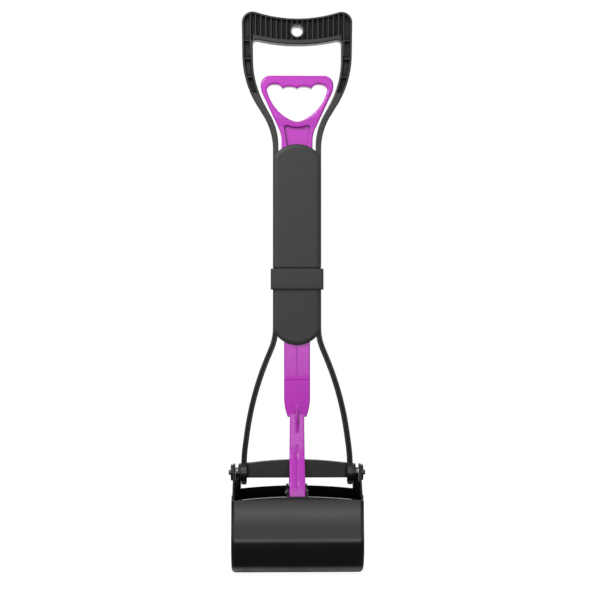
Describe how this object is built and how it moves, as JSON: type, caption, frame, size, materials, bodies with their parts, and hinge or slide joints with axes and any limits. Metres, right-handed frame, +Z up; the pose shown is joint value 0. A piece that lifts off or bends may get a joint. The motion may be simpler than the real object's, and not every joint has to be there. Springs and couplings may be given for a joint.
{
  "type": "pooper scooper",
  "caption": "Long-handled folding scooper whose two spring-closed bucket jaws open when a trigger under the D grip is squeezed.",
  "frame": {"origin": "centre of the hang hole in the grip, on the mid plane of the shaft", "axes": "+Z up along the shaft, -Y towards the front jaw and the viewer, +X to the viewer's right"},
  "size_m": [0.173, 0.1164, 0.703],
  "materials": {
    "grip_plastic": "satin moulded",
    "sleeve_plastic": "fine matt grain",
    "trigger_plastic": "semi-gloss moulded",
    "jaw_plastic": "gloss moulded",
    "bushing_plastic": "moulded",
    "pin_steel": "turned",
    "screw_steel": "blackened",
    "spring_steel": "drawn wire"
  },
  "bodies": {
    "upper_frame": {"upper_handle": "grip_plastic", "upper_front_cover": "sleeve_plastic", "upper_back_cover": "sleeve_plastic", "upper_cover_screws": "screw_steel", "fold_hinge_pins": "pin_steel"},
    "trigger": {"trigger": "trigger_plastic", "rod_hinge_pin": "pin_steel"},
    "lower_frame": {"lower_legs": "grip_plastic", "lower_front_cover": "sleeve_plastic", "lower_back_cover": "sleeve_plastic", "lower_cover_screws": "screw_steel", "pivot_pin_left": "screw_steel", "pivot_pin_right": "screw_steel", "pivot_bushing_left": "bushing_plastic", "pivot_bushing_right": "bushing_plastic", "torsion_spring_left": "spring_steel", "torsion_spring_right": "spring_steel"},
    "pull_rod": {"pull_rod": "trigger_plastic", "front_lug_pin": "pin_steel", "back_lug_pin": "pin_steel"},
    "front_jaw": {"front_jaw": "jaw_plastic"},
    "back_jaw": {"back_jaw": "jaw_plastic"},
    "lock_collar": {"lock_collar": "sleeve_plastic"}
  },
  "joints": [
    {"name": "trigger_pull", "type": "slide", "parent": "upper_frame", "child": "trigger", "axis": [0, 0, 1], "range_m": [0, 0.034], "stiffness_N_per_m": 60, "springref_m": -0.04},
    {"name": "fold_hinge", "type": "hinge", "parent": "upper_frame", "child": "lower_frame", "pos_m": [0, 0.0123, -0.2988], "axis": [1, 0, 0], "range_deg": [0, 155]},
    {"name": "rod_slide", "type": "slide", "parent": "lower_frame", "child": "pull_rod", "axis": [0, 0, 1], "range_m": [0, 0.034]},
    {"name": "front_jaw_pivot", "type": "hinge", "parent": "lower_frame", "child": "front_jaw", "pos_m": [0, 0, -0.5569], "axis": [1, 0, 0], "range_deg": [-42.5, 0]},
    {"name": "back_jaw_pivot", "type": "hinge", "parent": "lower_frame", "child": "back_jaw", "pos_m": [0, 0, -0.5569], "axis": [1, 0, 0], "range_deg": [0, 42.5]},
    {"name": "collar_slide", "type": "slide", "parent": "lower_frame", "child": "lock_collar", "axis": [0, 0, 1], "range_m": [-0.02, 0.014]}
  ],
  "couplings": [
    {"joint": "rod_slide", "follows": "trigger_pull", "ratio": 1},
    {"joint": "front_jaw_pivot", "follows": "trigger_pull", "rad_per_m": -21.817},
    {"joint": "back_jaw_pivot", "follows": "trigger_pull", "rad_per_m": 21.817}
  ]
}
